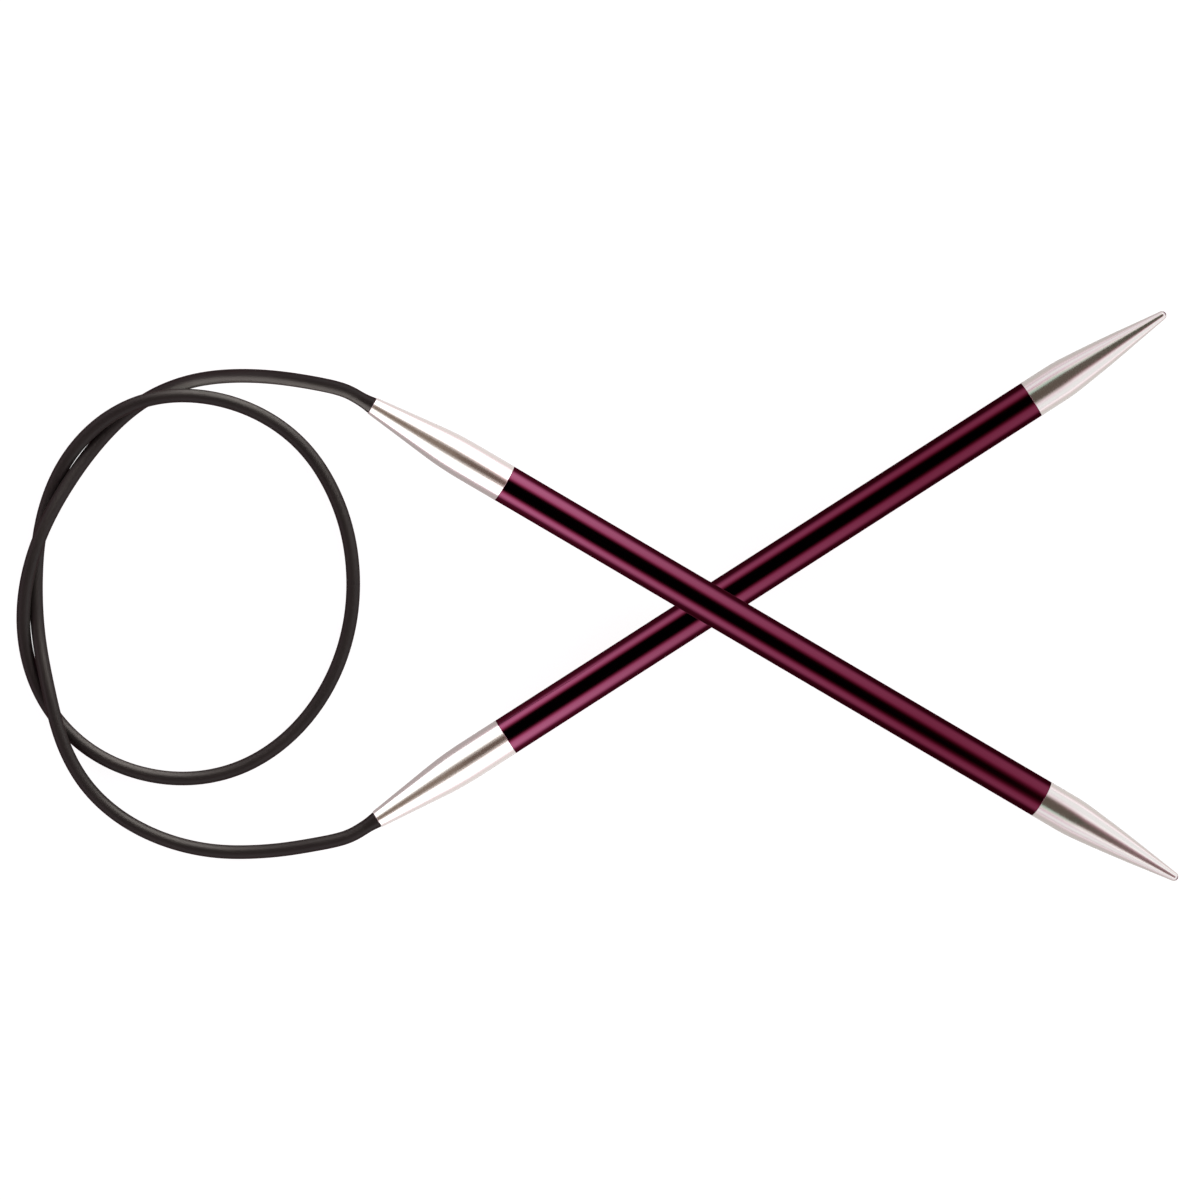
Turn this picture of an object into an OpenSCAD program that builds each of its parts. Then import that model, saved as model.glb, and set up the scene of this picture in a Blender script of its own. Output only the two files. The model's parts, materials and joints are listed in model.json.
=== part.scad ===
// Fixed circular knitting needle, 6 mm by 60 cm.
// Two tapered needles are joined by a thin flexible cable that turns freely in each of them.
// It lies on a flat surface: needle B lies flat, needle A rests across it with its point down,
// and the cable lies in one and a half turns beside them, its two strands twisted on the left.
// Units are millimetres. +Z is up, and z = 0 is the surface that everything lies on.

/* [Needles] */
// Diameter of the coloured shafts, which is the needle's size
needle_d = 6; // [5.5:0.25:6.5]
// Length of one needle, from the mouth of its ferrule to its tip
needle_l = 145.5; // [140:0.5:155]
// Length of the silver point that shows
point_l = 24.8; // [22:0.2:30]
// Length of the silver ferrule that shows
ferrule_l = 23.7; // [20:0.1:30]
// Diameter of the ferrule's mouth, where the cable enters
mouth_d = 2.8; // [2.7:0.1:3.2]
// Diameter of the rounded tip
tip_d = 1.4; // [1:0.1:2]
// Wall thickness of the hollow shaft
tube_wall = 1; // [0.8:0.1:1.1]
// Length of the spigots that are glued into the shaft
spigot_l = 8; // [5:1:12]

/* [Swivel] */
// Diameter of the swivel pin's neck, which turns in the ferrule's mouth
neck_d = 1.6; // [1.5:0.1:1.7]
// Diameter of the swivel pin's head, which can't pass the mouth
head_d = 2.6; // [2.2:0.1:2.7]
// Length of the swivel pin's head
head_l = 2; // [1:0.5:4]
// Length of the narrow bore in the ferrule's mouth
neck_l = 5; // [4:0.5:7]
// Radial clearance between the swivel pin and the ferrule
swivel_gap = 0.05; // [0.03:0.01:0.08]

/* [Cable] */
// Diameter of the cable
cable_d = 2.15; // [1.9:0.05:2.15]
// Diameter of the steel strand inside the cable
core_d = 1; // [0.8:0.1:1]
// Widest diameter of the sleeve at each end of the cable
collar_d = 2.6; // [2.3:0.1:2.7]
// Length of the sleeve at each end of the cable
sleeve_l = 2.5; // [1.5:0.5:3]

/* [Layout] */
// Direction of needle A seen from above
angle_a = -30.4; // [-33:0.1:-28]
// Direction of needle B seen from above
angle_b = 32.7; // [30:0.1:36]
// Distance from needle A's mouth to where the needles cross
cross_a = 61; // [59:0.5:63]
// Distance from needle B's mouth to where the needles cross
cross_b = 61.6; // [60:0.2:64]

/* [Hidden] */

$fn = 64;
SILVER = [0.80, 0.79, 0.78];
PURPLE = [0.36, 0.08, 0.24];
BLACK = [0.10, 0.09, 0.09];
STEEL = [0.55, 0.56, 0.58];

// Gap between the two needles where they cross
rest_gap = 0.1;
// Gap round what is glued or crimped in
glue_gap = 0.02;
// Chamfer on the ends of the shaft, which shows as a fine seam
seam = 0.08;
// Where the needles cross, seen from above
crossing = [-9.86, -1.3];

// --- Outlines of the turned pieces, as [radius, distance from the mouth] ----------------------

needle_r = needle_d / 2;
tip_r = tip_d / 2;

// The ferrule's taper is a straight cone and then a curve that eases into the cylinder
ferrule_cone_l = 10.8;
ferrule_taper_l = 17.2;
ferrule_slope = 2 * (needle_r - mouth_d / 2) / (ferrule_cone_l + ferrule_taper_l);
// Radius that a curve adds over a length l, at a distance x along it, as its slope goes from m to n
function eased(x, l, m, n) = m * x + (n - m) * x * x / (2 * l);
ferrule_curve = [
    for (i = [0:8])
        let (l = ferrule_taper_l - ferrule_cone_l, x = l * i / 8)
        [
            mouth_d / 2 + ferrule_slope * ferrule_cone_l + eased(x, l, ferrule_slope, 0),
            ferrule_cone_l + x
        ]
];

// The point is a ball end, a cone, a long gentle curve and a short shoulder, from the tip back
point_cone_end = 7.2;
point_curve_end = 17.5;
point_shoulder_end = 20.5;
shoulder_share = 0.71;
curve_l = point_curve_end - point_cone_end;
shoulder_l = point_shoulder_end - point_curve_end;
point_slope = (needle_r - tip_r) / (
    point_cone_end - tip_r + curve_l * (1 + shoulder_share) / 2 + shoulder_l * shoulder_share / 2
);
shoulder_slope = point_slope * shoulder_share;
cone_r = tip_r + point_slope * (point_cone_end - tip_r);
curve_r = cone_r + eased(curve_l, curve_l, point_slope, shoulder_slope);
point_curve = concat(
    [for (i = [0:6]) [tip_r * sin(15 * i), needle_l - tip_r + tip_r * cos(15 * i)]],
    [
        for (i = [0:6])
            let (x = curve_l * i / 6)
            [cone_r + eased(x, curve_l, point_slope, shoulder_slope), needle_l - point_cone_end - x]
    ],
    [
        for (i = [1:5])
            let (x = shoulder_l * i / 5)
            [curve_r + eased(x, shoulder_l, shoulder_slope, 0), needle_l - point_curve_end - x]
    ]
);

tube_r = needle_r - tube_wall;
spigot_r = tube_r - glue_gap;
shaft_end = needle_l - point_l;

// --- Where the needles lie -------------------------------------------------------------------

apart = angle_b - angle_a;

// Height of needle A's axis over needle B's where they cross, at a tilt t
function lift(t) =
    let (along = cos(t) * cos(apart))
    (needle_d + rest_gap) * sqrt(1 - along * along) / (cos(t) * sin(apart));
// Tilt that brings needle A's shoulder down on the surface, improved once from a first tilt t
function tilt_from(t) =
    asin((needle_r + lift(t) - curve_r * cos(t)) / (needle_l - point_curve_end - cross_a));
tilt = tilt_from(tilt_from(0));

// A needle's place is the point in the middle of its mouth and its direction towards the tip
dir_a = [cos(tilt) * cos(angle_a), cos(tilt) * sin(angle_a), -sin(tilt)];
dir_b = [cos(angle_b), sin(angle_b), 0];
mouth_a = [crossing.x, crossing.y, needle_r + lift(tilt)] - cross_a * dir_a;
mouth_b = [crossing.x, crossing.y, needle_r] - cross_b * dir_b;

// Puts what stands on the origin along +Z on a needle's axis, with z = 0 at its mouth
module on_needle_a() {
    translate(mouth_a) rotate([0, 90 + tilt, angle_a]) children();
}

module on_needle_b() {
    translate(mouth_b) rotate([0, 90, angle_b]) children();
}

// --- Pieces of a needle ------------------------------------------------------------------------

// Solid point with a spigot at its back
module point_shape() {
    rotate_extrude() polygon(concat(
        point_curve,
        [
            [needle_r, shaft_end],
            [spigot_r, shaft_end],
            [spigot_r, shaft_end - spigot_l],
            [0, shaft_end - spigot_l]
        ]
    ));
}

// Hollow shaft with a fine chamfer at each end
module shaft_shape() {
    rotate_extrude() polygon([
        [tube_r, ferrule_l],
        [needle_r - seam, ferrule_l],
        [needle_r, ferrule_l + seam],
        [needle_r, shaft_end - seam],
        [needle_r - seam, shaft_end],
        [tube_r, shaft_end]
    ]);
}

neck_bore_r = neck_d / 2 + swivel_gap;
head_bore_r = head_d / 2 + swivel_gap;

// Tapered ferrule with a spigot. Its bore is narrow at the mouth and wide behind, for the pin's head
module ferrule_shape() {
    rotate_extrude() polygon(concat(
        [[neck_bore_r, neck_l], [neck_bore_r, 0], [mouth_d / 2, 0]],
        ferrule_curve,
        [
            [needle_r, ferrule_l],
            [spigot_r, ferrule_l],
            [spigot_r, ferrule_l + spigot_l],
            [head_bore_r, ferrule_l + spigot_l],
            [head_bore_r, neck_l]
        ]
    ));
}

// --- Pieces at a cable's end, on the same axis and with z = 0 at the needle's mouth -------------

core_bore_r = core_d / 2;
core_end = neck_l - 1;

// Turned pin: a tube that is crimped on the steel strand, and a head behind the ferrule's shoulder
module swivel_pin_shape() {
    rotate_extrude() polygon([
        [core_bore_r, -sleeve_l],
        [neck_d / 2, -sleeve_l],
        [neck_d / 2, neck_l + swivel_gap],
        [head_d / 2, neck_l + swivel_gap],
        [head_d / 2, neck_l + swivel_gap + head_l],
        [0, neck_l + swivel_gap + head_l],
        [0, core_end],
        [core_bore_r, core_end]
    ]);
}

// Sleeve over the crimp, flush with the cable and flared where it meets the ferrule
module end_sleeve_shape() {
    flare = (collar_d - cable_d) / 2;
    rotate_extrude() polygon(concat(
        [
            [neck_d / 2 + glue_gap / 2, -swivel_gap],
            [neck_d / 2 + glue_gap / 2, -sleeve_l]
        ],
        [
            for (share = [0:0.2:1])
                [cable_d / 2 + flare * share * share, -sleeve_l + share * (sleeve_l - 2 * swivel_gap)]
        ],
        [[collar_d / 2 - swivel_gap, -swivel_gap]]
    ));
}

// --- The cable's route --------------------------------------------------------------------------

// The route's points between the two end sleeves, from needle A round to needle B. It comes down
// from needle A, crosses under, over and under the strand that follows it, and runs once round
// the loop. Then it crosses over, under and over its own first turn, and ends at needle B.
ROUTE = [
    // down from needle A
    [-70.5, 32.8, 15.5], [-77.0, 33.9, 13.5], [-83.8, 34.3, 8.9], [-90.8, 33.7, 3.5],
    [-98.1, 30.9, 1.08],
    // down the left side, on the inside, over the later strand, and on the outside
    [-104.2, 25.4, 1.08], [-109.4, 18.5, 2.0], [-114.0, 10.3, 3.9], [-116.7, 1.5, 3.25],
    [-117.0, -7.4, 1.1], [-114.2, -16.2, 1.08],
    // round the bottom and up the right side
    [-108.0, -23.5, 1.08], [-99.8, -27.6, 1.08], [-90.9, -28.8, 1.08], [-82.1, -26.8, 1.08],
    [-74.4, -21.4, 1.08], [-68.8, -13.7, 1.08], [-65.7, -4.7, 1.08], [-65.2, 4.7, 1.08],
    [-67.1, 13.9, 1.08], [-72.1, 23.0, 1.2],
    // over the top, across the first turn, and down the left side again
    [-79.7, 28.8, 2.7], [-88.6, 31.5, 5.2], [-97.8, 31.1, 4.8], [-105.8, 26.8, 2.8],
    [-111.4, 19.9, 1.2], [-114.3, 11.5, 1.08], [-115.0, 2.6, 1.08], [-114.6, -6.2, 1.5],
    [-112.8, -14.5, 3.4], [-111.0, -22.4, 3.4],
    // round the bottom on the outside, to needle B
    [-107.4, -29.5, 1.7], [-101.6, -34.8, 1.08], [-94.5, -38.2, 1.08], [-87.6, -39.7, 1.08],
    [-81.9, -39.8, 1.4], [-76.5, -39.4, 2.0], [-71.3, -38.5, 2.7]
];

// Straight stretch at each end of the route
lead_a = 2.4;
lead_b = 3;
start = mouth_a - sleeve_l * dir_a;
finish = mouth_b - sleeve_l * dir_b;
control = concat(
    [start + lead_a * dir_a, start, start - lead_a * dir_a],
    ROUTE,
    [finish - lead_b * dir_b, finish, finish + lead_b * dir_b]
);
spans = len(control) - 3;

// Point and direction on the smooth curve (a uniform cubic B-spline) at a share t of a span
function curve_point(i, t) =
    (
        pow(1 - t, 3) * control[i]
        + (3 * pow(t, 3) - 6 * t * t + 4) * control[i + 1]
        + (-3 * pow(t, 3) + 3 * t * t + 3 * t + 1) * control[i + 2]
        + pow(t, 3) * control[i + 3]
    ) / 6;
function curve_slope(i, t) =
    (
        -pow(1 - t, 2) * control[i]
        + (3 * t * t - 4 * t) * control[i + 1]
        + (-3 * t * t + 2 * t + 1) * control[i + 2]
        + t * t * control[i + 3]
    ) / 2;
function unit(v) = v / norm(v);

// A ring is the centre of a slice of the cable and its direction. There are two rings to a span.
RINGS_PER_SPAN = 2;
function ring_at(n) =
    let (i = min(floor(n / RINGS_PER_SPAN), spans - 1), t = n / RINGS_PER_SPAN - i)
    [curve_point(i, t), unit(curve_slope(i, t))];
last_ring = spans * RINGS_PER_SPAN;
rings = [for (n = [0:last_ring]) ring_at(n)];
// Rings of the stretch that flexes beside each needle
flex_rings_a = 10;
flex_rings_b = 12;

// --- Pieces of the cable -------------------------------------------------------------------------

SIDES = 8;
// The corners of a ring, one of them straight down
function corners(ring, r) =
    let (side = unit(cross(ring[1], [0, 0, 1])), up = cross(side, ring[1]))
    [for (k = [0:SIDES - 1]) let (a = 360 * k / SIDES) ring[0] + r * (cos(a) * side + sin(a) * up)];

// Walls between the rings of a tube whose corners start at a place in its list
function walls(count, at, outward) = [
    for (n = [0:count - 2], k = [0:SIDES - 1])
        let (
            a = at + n * SIDES + k,
            b = at + n * SIDES + (k + 1) % SIDES,
            quad = [a, b, b + SIDES, a + SIDES]
        )
        each outward
            ? [[quad[0], quad[1], quad[2]], [quad[0], quad[2], quad[3]]]
            : [[quad[0], quad[2], quad[1]], [quad[0], quad[3], quad[2]]]
];

// Solid rod along a list of rings
module rod(path, r) {
    count = len(path);
    polyhedron(
        points = [for (ring = path) each corners(ring, r)],
        faces = concat(
            walls(count, 0, true),
            [[for (k = [0:SIDES - 1]) SIDES - 1 - k]],
            [[for (k = [0:SIDES - 1]) (count - 1) * SIDES + k]]
        )
    );
}

// Hollow tube along a list of rings
module hose(path, r, bore_r) {
    count = len(path);
    inner = count * SIDES;
    ends = [[0, false], [(count - 1) * SIDES, true]];
    polyhedron(
        points = concat(
            [for (ring = path) each corners(ring, r)],
            [for (ring = path) each corners(ring, bore_r)]
        ),
        faces = concat(
            walls(count, 0, true),
            walls(count, inner, false),
            [
                for (end = ends, k = [0:SIDES - 1])
                    let (
                        a = end[0] + k,
                        b = end[0] + (k + 1) % SIDES,
                        quad = [a, b, b + inner, a + inner]
                    )
                    each end[1]
                        ? [[quad[0], quad[1], quad[2]], [quad[0], quad[2], quad[3]]]
                        : [[quad[0], quad[2], quad[1]], [quad[0], quad[3], quad[2]]]
            ]
        )
    );
}

function stretch(from, to) = [for (n = [from:to]) rings[n]];
core_r = core_d / 2 - glue_gap;
// Where the steel strand ends, short of the end of each swivel pin's bore
core_stop = core_end - glue_gap;
core_start_ring = [mouth_a + core_stop * dir_a, -dir_a];
core_last_ring = [mouth_b + core_stop * dir_b, dir_b];

// --- Nodes ---------------------------------------------------------------------------------------

module point_a() {
    color(SILVER) on_needle_a() point_shape();
}

module shaft_a() {
    color(PURPLE) on_needle_a() shaft_shape();
}

module ferrule_a() {
    color(SILVER) on_needle_a() ferrule_shape();
}

module swivel_pin_a() {
    color(STEEL) on_needle_a() swivel_pin_shape();
}

module end_sleeve_a() {
    color(BLACK) on_needle_a() end_sleeve_shape();
}

module point_b() {
    color(SILVER) on_needle_b() point_shape();
}

module shaft_b() {
    color(PURPLE) on_needle_b() shaft_shape();
}

module ferrule_b() {
    color(SILVER) on_needle_b() ferrule_shape();
}

module swivel_pin_b() {
    color(STEEL) on_needle_b() swivel_pin_shape();
}

module end_sleeve_b() {
    color(BLACK) on_needle_b() end_sleeve_shape();
}

module cable_jacket() {
    color(BLACK) hose(stretch(flex_rings_a, last_ring - flex_rings_b), cable_d / 2, core_d / 2);
}

module cable_core() {
    color(STEEL) rod(stretch(flex_rings_a, last_ring - flex_rings_b), core_r);
}

module flex_jacket_a() {
    color(BLACK) hose(stretch(0, flex_rings_a), cable_d / 2, core_d / 2);
}

module flex_core_a() {
    color(STEEL) rod(concat([core_start_ring], stretch(0, flex_rings_a)), core_r);
}

module flex_jacket_b() {
    color(BLACK) hose(stretch(last_ring - flex_rings_b, last_ring), cable_d / 2, core_d / 2);
}

module flex_core_b() {
    color(STEEL) rod(concat(stretch(last_ring - flex_rings_b, last_ring), [core_last_ring]), core_r);
}

point_a();
shaft_a();
ferrule_a();
swivel_pin_a();
end_sleeve_a();
point_b();
shaft_b();
ferrule_b();
swivel_pin_b();
end_sleeve_b();
cable_jacket();
cable_core();
flex_jacket_a();
flex_core_a();
flex_jacket_b();
flex_core_b();
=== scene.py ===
"""The looks of a fixed circular knitting needle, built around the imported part.

Lengths are in metres and +Z is up. The camera and the cable come first, then the turned metal
pieces, their materials, the floor and the light.
"""

import json
import math

import bmesh
import bpy
from mathutils import Matrix, Vector


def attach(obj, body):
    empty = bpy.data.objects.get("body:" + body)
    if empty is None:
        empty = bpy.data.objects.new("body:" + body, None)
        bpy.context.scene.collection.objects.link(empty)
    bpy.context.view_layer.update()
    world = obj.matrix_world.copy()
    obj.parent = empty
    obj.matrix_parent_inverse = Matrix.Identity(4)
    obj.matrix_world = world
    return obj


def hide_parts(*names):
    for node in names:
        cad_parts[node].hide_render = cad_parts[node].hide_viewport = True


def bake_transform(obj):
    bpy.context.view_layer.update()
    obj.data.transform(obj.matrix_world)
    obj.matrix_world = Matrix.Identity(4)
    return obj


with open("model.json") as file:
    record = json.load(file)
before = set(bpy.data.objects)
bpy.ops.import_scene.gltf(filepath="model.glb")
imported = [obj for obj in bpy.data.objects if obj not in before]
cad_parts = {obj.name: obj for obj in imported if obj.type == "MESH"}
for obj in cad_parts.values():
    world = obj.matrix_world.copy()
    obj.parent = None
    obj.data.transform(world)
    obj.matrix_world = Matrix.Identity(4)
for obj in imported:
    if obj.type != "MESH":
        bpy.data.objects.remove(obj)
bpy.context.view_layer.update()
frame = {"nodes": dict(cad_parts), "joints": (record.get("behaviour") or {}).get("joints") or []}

MM = 0.001
JOINTS = {joint["name"]: joint for joint in frame["joints"]}


# --- Sizes ---------------------------------------------------------------------------------------

NEEDLE_R = 3 * MM
NEEDLE_L = 145.5 * MM
POINT_L = 24.8 * MM
FERRULE_L = 23.7 * MM
MOUTH_R = 1.4 * MM
TIP_R = 0.7 * MM
TUBE_WALL = 1 * MM
SPIGOT_L = 8 * MM
GLUE_GAP = 0.02 * MM
SHAFT_END = NEEDLE_L - POINT_L

CABLE_R = 1.075 * MM
COLLAR_R = 1.3 * MM
SLEEVE_L = 2.5 * MM
NECK_R = 0.8 * MM
HEAD_R = 1.3 * MM
NECK_L = 5 * MM
SWIVEL_GAP = 0.05 * MM


# --- Where the needles lie -----------------------------------------------------------------------

class Needle:
    """A needle's mouth, the direction from there to its tip, and its names."""

    def __init__(self, side):
        swivel = JOINTS["swivel_" + side]
        self.side = side
        self.mouth = Vector(swivel["pos_m"])
        self.direction = Vector(swivel["axis"]).normalized()
        self.body = "needle_" + side
        self.end_body = "cable_end_" + side

    def at(self, distance):
        return self.mouth + distance * self.direction

    def matrix(self):
        """Takes local x along the needle, from its mouth, into the part's frame."""
        turn = self.direction.to_track_quat("X", "Z").to_matrix().to_4x4()
        return Matrix.Translation(self.mouth) @ turn


NEEDLE_A = Needle("a")
NEEDLE_B = Needle("b")


# --- Camera --------------------------------------------------------------------------------------

VIEW_CENTRE = Vector((-27.12 * MM, -0.53 * MM, 3 * MM))
VIEW_WIDTH = 186.38 * MM


def make_camera():
    """A long lens straight above the middle of the view."""
    data = bpy.data.cameras.new("camera")
    data.lens = 300
    data.sensor_width = 36
    data.clip_end = 20
    camera = bpy.data.objects.new("camera", data)
    camera.location = VIEW_CENTRE + Vector((0, 0, VIEW_WIDTH * data.lens / data.sensor_width))
    bpy.context.scene.collection.objects.link(camera)
    bpy.context.scene.camera = camera


make_camera()


# --- The cable -----------------------------------------------------------------------------------

# The same points as in the part's source, in metres
ROUTE = [
    # down from needle A
    (-0.0705, 0.0328, 0.0155), (-0.0770, 0.0339, 0.0135), (-0.0838, 0.0343, 0.0089),
    (-0.0908, 0.0337, 0.0035), (-0.0981, 0.0309, 0.00108),
    # down the left side, on the inside, over the later strand, and on the outside
    (-0.1042, 0.0254, 0.00108), (-0.1094, 0.0185, 0.0020), (-0.1140, 0.0103, 0.0039),
    (-0.1167, 0.0015, 0.00325), (-0.1170, -0.0074, 0.0011), (-0.1142, -0.0162, 0.00108),
    # round the bottom and up the right side
    (-0.1080, -0.0235, 0.00108), (-0.0998, -0.0276, 0.00108), (-0.0909, -0.0288, 0.00108),
    (-0.0821, -0.0268, 0.00108), (-0.0744, -0.0214, 0.00108), (-0.0688, -0.0137, 0.00108),
    (-0.0657, -0.0047, 0.00108), (-0.0652, 0.0047, 0.00108), (-0.0671, 0.0139, 0.00108),
    (-0.0721, 0.0230, 0.0012),
    # over the top, across the first turn, and down the left side again
    (-0.0797, 0.0288, 0.0027), (-0.0886, 0.0315, 0.0052), (-0.0978, 0.0311, 0.0048),
    (-0.1058, 0.0268, 0.0028), (-0.1114, 0.0199, 0.0012), (-0.1143, 0.0115, 0.00108),
    (-0.1150, 0.0026, 0.00108), (-0.1146, -0.0062, 0.0015), (-0.1128, -0.0145, 0.0034),
    (-0.1110, -0.0224, 0.0034),
    # round the bottom on the outside, to needle B
    (-0.1074, -0.0295, 0.0017), (-0.1016, -0.0348, 0.00108), (-0.0945, -0.0382, 0.00108),
    (-0.0876, -0.0397, 0.00108), (-0.0819, -0.0398, 0.0014), (-0.0765, -0.0394, 0.0020),
    (-0.0713, -0.0385, 0.0027),
]
LEAD_A = 2.4 * MM
LEAD_B = 3 * MM
STEPS_PER_SPAN = 10
CABLE_SIDES = 32
CABLE_SHARP_ANGLE = 50
# The span at which the cable's two parts meet, hidden under the strand that crosses there
MEETING_SPAN = 6


def control_points():
    start = NEEDLE_A.at(-SLEEVE_L)
    finish = NEEDLE_B.at(-SLEEVE_L)
    along_a = LEAD_A * NEEDLE_A.direction
    along_b = LEAD_B * NEEDLE_B.direction
    return (
        [start + along_a, start, start - along_a]
        + [Vector(point) for point in ROUTE]
        + [finish - along_b, finish, finish + along_b]
    )


def spline(control, position):
    """Point and direction on a uniform cubic B-spline, at a position counted in spans."""
    span = min(int(position), len(control) - 4)
    t = position - span
    p0, p1, p2, p3 = control[span:span + 4]
    point = (
        (1 - t) ** 3 * p0
        + (3 * t ** 3 - 6 * t ** 2 + 4) * p1
        + (-3 * t ** 3 + 3 * t ** 2 + 3 * t + 1) * p2
        + t ** 3 * p3
    ) / 6
    slope = (
        -(1 - t) ** 2 * p0
        + (3 * t ** 2 - 4 * t) * p1
        + (-3 * t ** 2 + 2 * t + 1) * p2
        + t ** 2 * p3
    )
    return point, slope.normalized()


def cable_rings(first_span, last_span):
    control = control_points()
    steps = (last_span - first_span) * STEPS_PER_SPAN
    return [spline(control, first_span + step / STEPS_PER_SPAN) for step in range(steps + 1)]


def store_places(mesh, places):
    """Keeps each point's own coordinates, along the piece and across it, for the materials."""
    attribute = mesh.attributes.new("place", "FLOAT_VECTOR", "POINT")
    for index, place in enumerate(places):
        attribute.data[index].vector = place


def finish_mesh(name, points, faces, places, sharp_angle):
    mesh = bpy.data.meshes.new(name)
    mesh.from_pydata(points, [], faces)
    mesh.validate()
    store_places(mesh, places)
    mesh.polygons.foreach_set("use_smooth", [True] * len(mesh.polygons))
    mesh.set_sharp_from_angle(angle=math.radians(sharp_angle))
    piece = bpy.data.objects.new(name, mesh)
    bpy.context.scene.collection.objects.link(piece)
    return piece


def cable_part(name, rings):
    """A closed rod along the rings, whose sides don't twist."""
    points, places, faces = [], [], []
    distance = 0
    for index, (centre, direction) in enumerate(rings):
        if index:
            distance += (centre - rings[index - 1][0]).length
        side = direction.cross(Vector((0, 0, 1))).normalized()
        up = side.cross(direction)
        for corner in range(CABLE_SIDES):
            angle = 2 * math.pi * corner / CABLE_SIDES
            across = CABLE_R * (math.cos(angle) * side + math.sin(angle) * up)
            points.append(centre + across)
            places.append((distance, CABLE_R * math.cos(angle), CABLE_R * math.sin(angle)))
    for index in range(len(rings) - 1):
        for corner in range(CABLE_SIDES):
            a = index * CABLE_SIDES + corner
            b = index * CABLE_SIDES + (corner + 1) % CABLE_SIDES
            faces.append((a, b, b + CABLE_SIDES, a + CABLE_SIDES))
    last = (len(rings) - 1) * CABLE_SIDES
    faces.append(tuple(reversed(range(CABLE_SIDES))))
    faces.append(tuple(range(last, last + CABLE_SIDES)))
    return finish_mesh(name, points, faces, places, CABLE_SHARP_ANGLE)


LAST_SPAN = len(control_points()) - 3
rings_a = cable_rings(0, MEETING_SPAN)
rings_b = cable_rings(MEETING_SPAN, LAST_SPAN)
cable_a = cable_part("cable_part_a", rings_a)
cable_b = cable_part("cable_part_b", rings_b)


# --- Turned pieces -------------------------------------------------------------------------------

SEGMENTS = 128
SHARP_ANGLE = 35
CORNER_STEPS = 4
CONE_STEPS = 6
CURVE_STEPS = 20
SHOULDER_STEPS = 10
BALL_STEPS = 16
FLARE_STEPS = 12


def turned(name, outline, needle):
    """A closed outline of (distance along the needle, radius) turned about the needle's axis."""
    place = needle.matrix()
    points, places, faces, loops = [], [], [], []
    for along, radius in outline:
        count = SEGMENTS if radius > 0 else 1
        loops.append([len(points) + k for k in range(count)])
        for k in range(count):
            angle = 2 * math.pi * k / SEGMENTS
            local = Vector((along, radius * math.sin(angle), -radius * math.cos(angle)))
            points.append(place @ local)
            places.append(local)
    for index, loop in enumerate(loops):
        other = loops[(index + 1) % len(loops)]
        for k in range(SEGMENTS):
            n = (k + 1) % SEGMENTS
            if len(loop) == 1 and len(other) == 1:
                continue
            if len(loop) == 1:
                faces.append((loop[0], other[n], other[k]))
            elif len(other) == 1:
                faces.append((loop[k], loop[n], other[0]))
            else:
                faces.append((loop[k], loop[n], other[n], other[k]))
    piece = finish_mesh(name, points, faces, places, SHARP_ANGLE)
    bm = bmesh.new()
    bm.from_mesh(piece.data)
    bmesh.ops.recalc_face_normals(bm, faces=bm.faces)
    bm.to_mesh(piece.data)
    bm.free()
    piece.data.set_sharp_from_angle(angle=math.radians(SHARP_ANGLE))
    return piece


def eased(x, length, slope, end_slope):
    """What a curve adds over a length as its slope goes evenly from one value to another."""
    return slope * x + (end_slope - slope) * x * x / (2 * length)


def rounded_corner(along, radius, size, along_sign):
    """A small quarter round at an outer corner, from the cylinder round to the end face."""
    centre_along = along - along_sign * size
    centre_radius = radius - size
    angles = [math.pi / 2 * k / CORNER_STEPS for k in range(CORNER_STEPS + 1)]
    return [
        (centre_along + along_sign * size * math.sin(angle), centre_radius + size * math.cos(angle))
        for angle in angles
    ]


SEAM = 0.07 * MM
TUBE_R = NEEDLE_R - TUBE_WALL
SPIGOT_R = TUBE_R - GLUE_GAP


def shaft_outline():
    near = rounded_corner(FERRULE_L, NEEDLE_R, SEAM, -1)
    far = rounded_corner(SHAFT_END, NEEDLE_R, SEAM, 1)
    return list(reversed(near)) + far + [(SHAFT_END, TUBE_R), (FERRULE_L, TUBE_R)]


CONE_L = 10.8 * MM
TAPER_L = 17.2 * MM
FERRULE_SLOPE = 2 * (NEEDLE_R - MOUTH_R) / (CONE_L + TAPER_L)
LIP = 0.12 * MM


def ferrule_outline():
    curve_l = TAPER_L - CONE_L
    cone_r = MOUTH_R + FERRULE_SLOPE * CONE_L
    lip = list(reversed(rounded_corner(0, MOUTH_R + FERRULE_SLOPE * LIP, LIP, -1)))
    cone = [
        (CONE_L * k / CONE_STEPS, MOUTH_R + FERRULE_SLOPE * CONE_L * k / CONE_STEPS)
        for k in range(1, CONE_STEPS)
    ]
    curve = [
        (CONE_L + x, cone_r + eased(x, curve_l, FERRULE_SLOPE, 0))
        for x in (curve_l * k / CURVE_STEPS for k in range(CURVE_STEPS + 1))
    ]
    return (
        lip
        + cone
        + curve
        + rounded_corner(FERRULE_L, NEEDLE_R, SEAM / 2, 1)
        + [
            (FERRULE_L, SPIGOT_R),
            (FERRULE_L + SPIGOT_L, SPIGOT_R),
            (FERRULE_L + SPIGOT_L, HEAD_R + SWIVEL_GAP),
            (NECK_L, HEAD_R + SWIVEL_GAP),
            (NECK_L, NECK_R + SWIVEL_GAP),
            (0, NECK_R + SWIVEL_GAP),
        ]
    )


POINT_CONE_END = 7.2 * MM
POINT_CURVE_END = 17.5 * MM
POINT_SHOULDER_END = 20.5 * MM
SHOULDER_SHARE = 0.71


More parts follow.
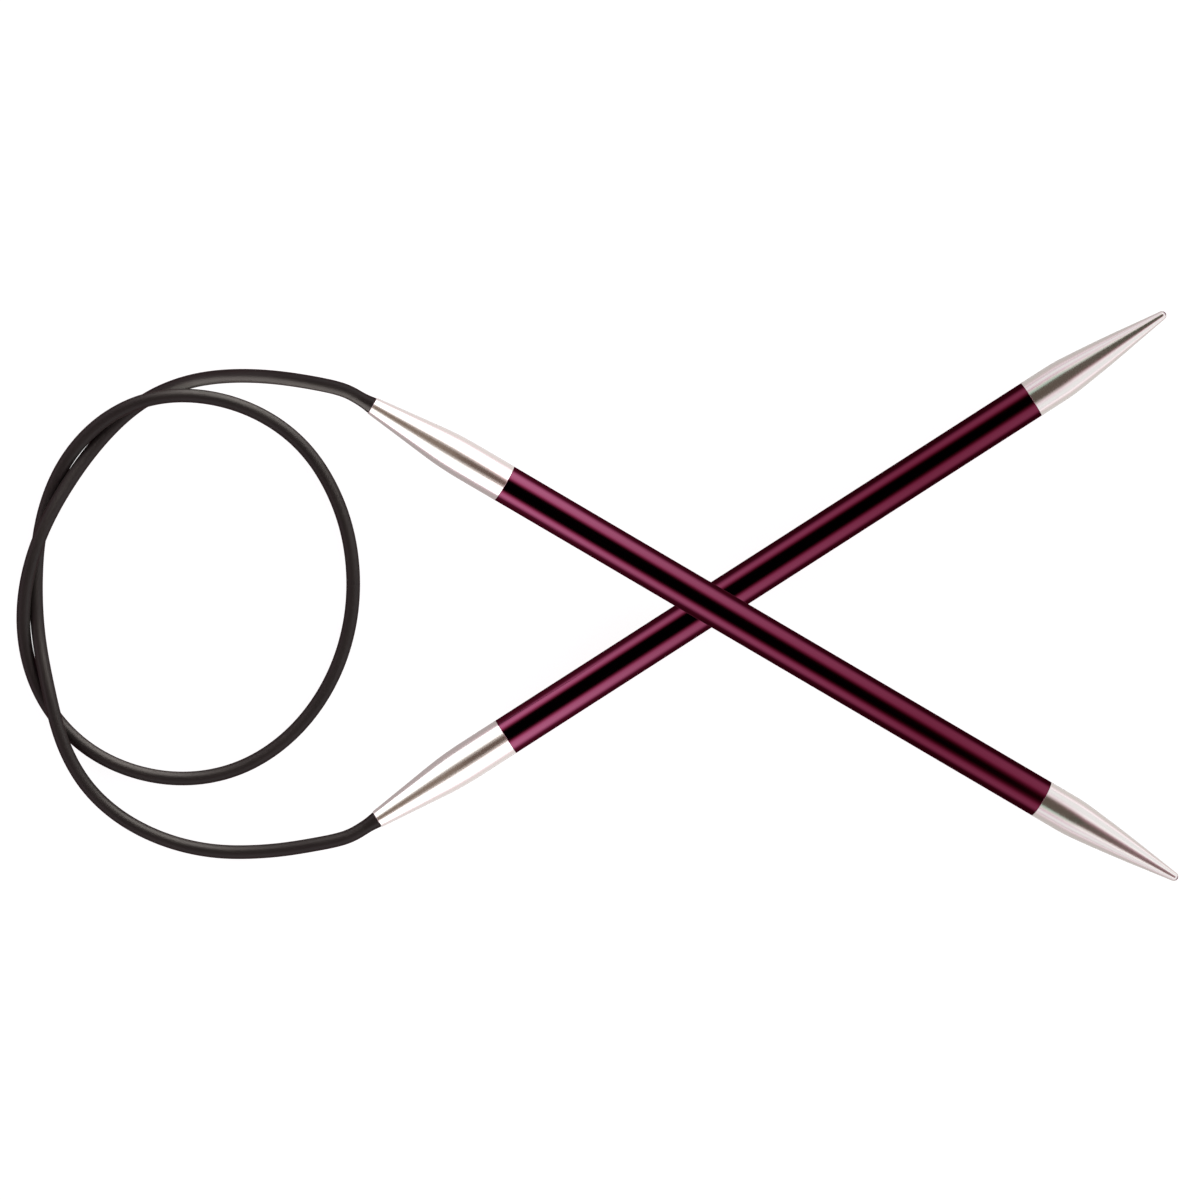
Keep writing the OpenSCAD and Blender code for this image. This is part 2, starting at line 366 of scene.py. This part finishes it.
def point_outline():
    """A ball end, a cone, a long gentle curve and a short shoulder, from the tip back."""
    cone_l = POINT_CONE_END - TIP_R
    curve_l = POINT_CURVE_END - POINT_CONE_END
    shoulder_l = POINT_SHOULDER_END - POINT_CURVE_END
    slope = (NEEDLE_R - TIP_R) / (
        cone_l + curve_l * (1 + SHOULDER_SHARE) / 2 + shoulder_l * SHOULDER_SHARE / 2
    )
    shoulder_slope = slope * SHOULDER_SHARE
    cone_r = TIP_R + slope * cone_l
    curve_r = cone_r + eased(curve_l, curve_l, slope, shoulder_slope)
    ball_turn = math.pi / 2 - math.atan(slope)
    ball = [
        (NEEDLE_L - TIP_R + TIP_R * math.cos(angle), TIP_R * math.sin(angle))
        for angle in (ball_turn * k / BALL_STEPS for k in range(BALL_STEPS + 1))
    ]
    cone = [
        (NEEDLE_L - TIP_R - cone_l * k / CONE_STEPS, TIP_R + slope * cone_l * k / CONE_STEPS)
        for k in range(1, CONE_STEPS)
    ]
    curve = [
        (NEEDLE_L - POINT_CONE_END - x, cone_r + eased(x, curve_l, slope, shoulder_slope))
        for x in (curve_l * k / CURVE_STEPS for k in range(CURVE_STEPS + 1))
    ]
    shoulder = [
        (NEEDLE_L - POINT_CURVE_END - x, curve_r + eased(x, shoulder_l, shoulder_slope, 0))
        for x in (shoulder_l * k / SHOULDER_STEPS for k in range(1, SHOULDER_STEPS + 1))
    ]
    return (
        ball
        + cone
        + curve
        + shoulder
        + rounded_corner(SHAFT_END, NEEDLE_R, SEAM / 2, -1)
        + [(SHAFT_END, SPIGOT_R), (SHAFT_END - SPIGOT_L, SPIGOT_R), (SHAFT_END - SPIGOT_L, 0)]
    )


def sleeve_outline():
    """Flush with the cable at its back, and flared up to a square rim at the ferrule."""
    bore_r = NECK_R + GLUE_GAP / 2
    flare_l = SLEEVE_L - 2 * SWIVEL_GAP
    flare = [
        (-SLEEVE_L + flare_l * share, CABLE_R + (COLLAR_R - CABLE_R) * share ** 2)
        for share in (k / FLARE_STEPS for k in range(FLARE_STEPS))
    ]
    return (
        [(-SLEEVE_L, bore_r)]
        + flare
        + rounded_corner(-SWIVEL_GAP, COLLAR_R, SWIVEL_GAP, 1)
        + [(-SWIVEL_GAP, bore_r)]
    )


def make_needle(needle):
    side = needle.side
    pieces = {
        "point": turned("turned_point_" + side, point_outline(), needle),
        "shaft": turned("anodised_shaft_" + side, shaft_outline(), needle),
        "ferrule": turned("turned_ferrule_" + side, ferrule_outline(), needle),
        "end_sleeve": turned("moulded_sleeve_" + side, sleeve_outline(), needle),
    }
    for kind, piece in pieces.items():
        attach(piece, needle.end_body if kind == "end_sleeve" else needle.body)
        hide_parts(kind + "_" + side)
        # the other needle's bands run on unbroken where the two cross
        piece.visible_glossy = False
    return pieces


pieces_a = make_needle(NEEDLE_A)
pieces_b = make_needle(NEEDLE_B)


# --- Materials -----------------------------------------------------------------------------------

class Shader:
    """A material under construction: a Principled shader and a few nodes that feed it."""

    def __init__(self, name, **values):
        self.material = bpy.data.materials.new(name)
        self.material.use_nodes = True
        self.nodes = self.material.node_tree.nodes
        self.links = self.material.node_tree.links
        self.principled = self.nodes["Principled BSDF"]
        for socket, value in values.items():
            self.principled.inputs[socket.replace("_", " ")].default_value = value

    def node(self, kind, **settings):
        node = self.nodes.new("ShaderNode" + kind)
        for key, value in settings.items():
            setattr(node, key, value)
        return node

    def link(self, source, target):
        self.links.new(source, target)

    def place(self, stretch):
        """The piece's own coordinates, multiplied by a number for each direction."""
        attribute = self.node("Attribute", attribute_name="place")
        scaled = self.node("VectorMath", operation="MULTIPLY")
        scaled.inputs[1].default_value = stretch
        self.link(attribute.outputs["Vector"], scaled.inputs[0])
        return scaled.outputs[0]

    def noise(self, stretch):
        noise = self.node("TexNoise")
        noise.inputs["Scale"].default_value = 1
        noise.inputs["Detail"].default_value = 3
        self.link(self.place(stretch), noise.inputs["Vector"])
        return noise.outputs["Fac"]

    def ranged(self, source, low, high, to_low, to_high):
        mapped = self.node("MapRange")
        for index, value in enumerate((low, high, to_low, to_high), start=1):
            mapped.inputs[index].default_value = value
        self.link(source, mapped.inputs[0])
        return mapped.outputs[0]

    def ramp(self, source, stops):
        """Colours at positions from 0 to 1."""
        ramp = self.node("ValToRGB")
        elements = ramp.color_ramp.elements
        while len(elements) < len(stops):
            elements.new(0.5)
        for element, (position, colour) in zip(elements, stops):
            element.position = position
            element.color = (*colour, 1)
        self.link(source, ramp.inputs[0])
        return ramp.outputs["Color"]

    def bump(self, height, strength, distance):
        bump = self.node("Bump")
        bump.inputs["Strength"].default_value = strength
        bump.inputs["Distance"].default_value = distance
        self.link(height, bump.inputs["Height"])
        self.link(bump.outputs[0], self.principled.inputs["Normal"])

    def drive(self, source, socket):
        self.link(source, self.principled.inputs[socket])


def anodised_material():
    """Dyed aluminium with the faint lines of a drawn tube, darker towards the point through a
    painted light falloff.
    """
    shader = Shader("anodised_purple", Metallic=1.0)
    # the dye also colours the reflections at a low angle
    shader.principled.inputs["Specular Tint"].default_value = (0.78, 0.54, 0.67, 1)
    attribute = shader.node("Attribute", attribute_name="place")
    parts = shader.node("SeparateXYZ")
    shader.link(attribute.outputs["Vector"], parts.inputs[0])
    along = shader.ranged(parts.outputs[0], FERRULE_L, SHAFT_END, 0, 1)
    # the dye's purple, with painted light falloff making it darker towards the point; the dye
    # itself is even
    dye_and_painted_falloff = shader.ramp(along, [
        (0.0, (0.31, 0.080, 0.155)),
        (0.25, (0.220, 0.050, 0.100)),
        (0.50, (0.158, 0.027, 0.060)),
        (0.78, (0.115, 0.015, 0.036)),
        (1.0, (0.125, 0.018, 0.042)),
    ])
    shader.drive(dye_and_painted_falloff, "Base Color")
    lines = shader.noise((60, 5000, 5000))
    shader.drive(shader.ranged(lines, 0.3, 0.7, 0.09, 0.15), "Roughness")
    shader.bump(lines, 0.05, 0.01 * MM)
    return shader.material


def metal_material(name, colour, roughness):
    """Plated metal with faint lines round it from polishing."""
    shader = Shader(name, Metallic=1.0)
    shader.principled.inputs["Base Color"].default_value = (*colour, 1)
    lines = shader.noise((9000, 300, 300))
    shader.drive(shader.ranged(lines, 0.3, 0.7, roughness - 0.03, roughness + 0.04), "Roughness")
    shader.bump(lines, 0.04, 0.01 * MM)
    return shader.material


def cable_material(name, roughness):
    """Smooth dark plastic with a satin skin."""
    shader = Shader(name)
    shader.principled.inputs["Specular IOR Level"].default_value = 0.15
    cloud = shader.noise((120, 900, 900))
    tones = shader.ramp(cloud, [(0.3, (0.0245, 0.0235, 0.0205)), (0.7, (0.0315, 0.030, 0.026))])
    shader.drive(tones, "Base Color")
    grain = shader.noise((2500, 5000, 5000))
    shader.drive(shader.ranged(grain, 0.3, 0.7, roughness - 0.05, roughness + 0.05), "Roughness")
    shader.bump(grain, 0.15, 0.01 * MM)
    return shader.material


def dress(piece, material):
    piece.data.materials.clear()
    piece.data.materials.append(material)


purple = anodised_material()
silver = metal_material("silver_plate", (0.60, 0.585, 0.57), 0.2)
steel = metal_material("turned_steel", (0.55, 0.54, 0.52), 0.3)
satin_black = cable_material("satin_black_plastic", 0.42)
sleeve_black = cable_material("sleeve_black_plastic", 0.32)

for pieces in (pieces_a, pieces_b):
    dress(pieces["point"], silver)
    dress(pieces["ferrule"], silver)
    dress(pieces["shaft"], purple)
    dress(pieces["end_sleeve"], sleeve_black)
for cable in (cable_a, cable_b):
    dress(cable, satin_black)
for side in ("a", "b"):
    pin = frame["nodes"]["swivel_pin_" + side]
    pin.data.materials.clear()
    pin.data.materials.append(steel)


# --- The cable parts in place of the part's cable nodes ------------------------------------------


def declare_cable(cable, needle, nodes):
    """Bakes a cable part's place into its mesh and hides the part's nodes that it stands in for."""
    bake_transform(cable)
    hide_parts(*nodes)
    needle.at(-SLEEVE_L)


declare_cable(
    cable_a, NEEDLE_A,
    nodes=("flex_jacket_a", "flex_core_a"),
)
declare_cable(
    cable_b, NEEDLE_B,
    nodes=("cable_jacket", "cable_core", "flex_jacket_b", "flex_core_b"),
)


# --- Floor and light -----------------------------------------------------------------------------

FLOOR_SIZE = 8
WALL_HEIGHT = 4


def stage_piece(name, points, faces, base, emission):
    """White, and seen by the camera only, so that the tent of light shows in the metal."""
    mesh = bpy.data.meshes.new(name)
    mesh.from_pydata(points, [], faces)
    piece = bpy.data.objects.new(name, mesh)
    bpy.context.scene.collection.objects.link(piece)
    shader = Shader("white_" + name, Roughness=0.9)
    shader.principled.inputs["Base Color"].default_value = (base, base, base, 1)
    shader.principled.inputs["Specular IOR Level"].default_value = 0
    shader.principled.inputs["Emission Color"].default_value = (1, 1, 1, 1)
    shader.principled.inputs["Emission Strength"].default_value = emission
    mesh.materials.append(shader.material)
    piece.visible_glossy = False
    piece.visible_diffuse = False
    return piece


def make_floor():
    half = FLOOR_SIZE / 2
    corners = [(-half, -half), (half, -half), (half, half), (-half, half)]
    ground = [(x, y, 0) for x, y in corners]
    stage_piece("floor", ground, [(0, 1, 2, 3)], base=0.22, emission=0.94)
    above = [(x, y, WALL_HEIGHT) for x, y in corners]
    sides = [(k, (k + 1) % 4, (k + 1) % 4 + 4, k + 4) for k in range(4)]
    walls = stage_piece("walls", ground + above, sides, base=0, emission=1)
    walls.visible_shadow = False


def from_zenith(degrees):
    """Place of a direction on a ramp that runs from straight down to straight up."""
    return (math.cos(math.radians(degrees)) + 1) / 2


def make_tent():
    """A light tent: bright walls, a dark opening overhead for the camera, and dark below."""
    world = bpy.data.worlds.new("tent")
    bpy.context.scene.world = world
    world.use_nodes = True
    nodes, links = world.node_tree.nodes, world.node_tree.links
    background = nodes["Background"]
    direction = nodes.new("ShaderNodeTexCoord").outputs["Generated"]

    def ramp(axis, stops):
        dot = nodes.new("ShaderNodeVectorMath")
        dot.operation = "DOT_PRODUCT"
        links.new(direction, dot.inputs[0])
        dot.inputs[1].default_value = Vector(axis).normalized()
        mapped = nodes.new("ShaderNodeMapRange")
        mapped.inputs[1].default_value = -1
        mapped.inputs[2].default_value = 1
        links.new(dot.outputs["Value"], mapped.inputs[0])
        node = nodes.new("ShaderNodeValToRGB")
        elements = node.color_ramp.elements
        while len(elements) < len(stops):
            elements.new(0.5)
        for element, (degrees, colour) in zip(elements, stops):
            element.position = from_zenith(degrees)
            element.color = (*colour, 1)
        links.new(mapped.outputs[0], node.inputs[0])
        return node.outputs["Color"]

    opening = ramp((-0.147, 0, 1), [
        (68, (1.0, 1.0, 1.0)),
        (56, (0.91, 0.78, 0.85)),
        (51, (0.78, 0.50, 0.62)),
        (43, (0.40, 0.17, 0.24)),
        (38, (0.20, 0.06, 0.09)),
        (32, (0.02, 0.003, 0.006)),
        (26, (0.0, 0.0, 0.0)),
    ])
    horizon = ramp((0.112, 0, 1), [
        (140, (0.08, 0.02, 0.03)),
        (115, (0.12, 0.03, 0.045)),
        (103, (0.19, 0.06, 0.10)),
        (93, (0.55, 0.36, 0.45)),
        (85, (0.80, 0.68, 0.74)),
        (76, (1.0, 1.0, 1.0)),
    ])
    both = nodes.new("ShaderNodeMix")
    both.data_type = "RGBA"
    both.blend_type = "MULTIPLY"
    both.inputs["Factor"].default_value = 1
    links.new(opening, both.inputs["A"])
    links.new(horizon, both.inputs["B"])
    links.new(both.outputs["Result"], background.inputs["Color"])
    background.inputs["Strength"].default_value = 1.35


def make_panel(name, receivers, towards, radiance, colour, top, bottom, width=3.0):
    """A panel of light for some pieces only, in a flat direction from the object.

    It reaches from one angle to another, in degrees down from straight above the object.
    """
    distance = 1.0
    middle = math.radians((top + bottom) / 2)
    height = 2 * distance * math.tan(math.radians((bottom - top) / 2))
    outward = math.sin(middle) * towards + Vector((0, 0, math.cos(middle)))
    data = bpy.data.lights.new(name, "AREA")
    data.shape = "RECTANGLE"
    data.size = width
    data.size_y = height
    data.energy = radiance * math.pi * width * height
    data.color = colour
    light = bpy.data.objects.new(name, data)
    light.location = distance * outward
    light.rotation_euler = outward.to_track_quat("Z", "Y").to_euler()
    light.visible_camera = False
    bpy.context.scene.collection.objects.link(light)
    lit = bpy.data.collections.new(name + "_pieces")
    for piece in receivers:
        lit.objects.link(piece)
    light.light_linking.receiver_collection = lit
    light.light_linking.blocker_collection = lit
    return light


# Panels square to each needle: what one lights, its radiance in front of the needle and behind
# it, its colour, and its top and bottom. The colours make up for the pink of the tent.
NEEDLE_PANELS = [
    ("ferrule", 0.6, 0.6, (1, 0.85, 0.76), 14, 27),
    ("ferrule", 2.0, 2.0, (1, 1, 0.98), 27, 88),
    ("ferrule", 1.05, 0.55, (1, 1, 0.97), 88, 165),
    ("point", 0.5, 0.85, (0.75, 1, 0.85), 29, 50),
    ("point", 0.9, 0.75, (0.96, 1, 0.95), 88, 165),
]

# Panels overhead, which show as a brown stripe: what one lights, its radiance and colour, where it
# starts and ends, in degrees from straight above towards the tip, and half its width in degrees.
# The points' last ones are green, since the tent is pink where an inclined point's tip shows it.
STRIPE_PANELS = [
    ("ferrule", 0.34, (1, 0.74, 0.58), -60, -7, 14),
    ("ferrule", 0.16, (1, 0.62, 0.46), -7, 50, 14),
    ("point", 0.16, (1, 0.78, 0.62), -30, 21, 29),
    ("point", 0.10, (0.8, 1, 0.7), 21, 27, 29),
    ("point", 0.07, (0.1, 1, 0.3), 27, 50, 29),
]

# Panels for each part of the cable and its sleeve: the flat direction of one, its radiance and
# its width. They show as a sheen on the plastic, and don't light its own colour.
CABLE_PANELS = {
    "a": ((-0.5, -1, 0), 6.7, 2.6),
    "b": ((0.3, 1, 0), 10.8, 1.0),
}
SHEEN_COLOUR = (1, 0.93, 0.88)
SHEEN_TOP, SHEEN_BOTTOM = 34, 106


def make_needle_panels(needle, pieces):
    along = Vector((needle.direction.x, needle.direction.y, 0)).normalized()
    # square to the needle, on the side of +X
    front = Vector((abs(along.y), math.copysign(along.x, -along.y), 0))
    for kind, radiance, colour, start, end, half_width in STRIPE_PANELS:
        # what a sloping needle mirrors straight up is off by twice its slope
        turn = -2 * math.degrees(math.asin(needle.direction.z)) if kind == "ferrule" else 0
        width = 2 * math.tan(math.radians(half_width))
        name = kind + "_stripe_" + needle.side
        make_panel(name, [pieces[kind]], along, radiance, colour, start + turn, end + turn, width)
    for kind, in_front, behind, colour, top, bottom in NEEDLE_PANELS:
        name = kind + "_panel_" + needle.side
        make_panel(name, [pieces[kind]], front, in_front, colour, top, bottom)
        make_panel(name, [pieces[kind]], -front, behind, colour, top, bottom)


def make_cable_panel(side, cable, sleeve):
    towards, radiance, width = CABLE_PANELS[side]
    name = "cable_panel_" + side
    towards = Vector(towards).normalized()
    panel = make_panel(
        name, [cable, sleeve], towards, radiance, SHEEN_COLOUR, SHEEN_TOP, SHEEN_BOTTOM, width
    )
    panel.visible_diffuse = False


make_floor()
make_tent()
make_needle_panels(NEEDLE_A, pieces_a)
make_needle_panels(NEEDLE_B, pieces_b)
make_cable_panel("a", cable_a, pieces_a["end_sleeve"])
make_cable_panel("b", cable_b, pieces_b["end_sleeve"])
bpy.context.scene.view_settings.view_transform = "Standard"
bpy.context.scene.view_settings.look = "None"
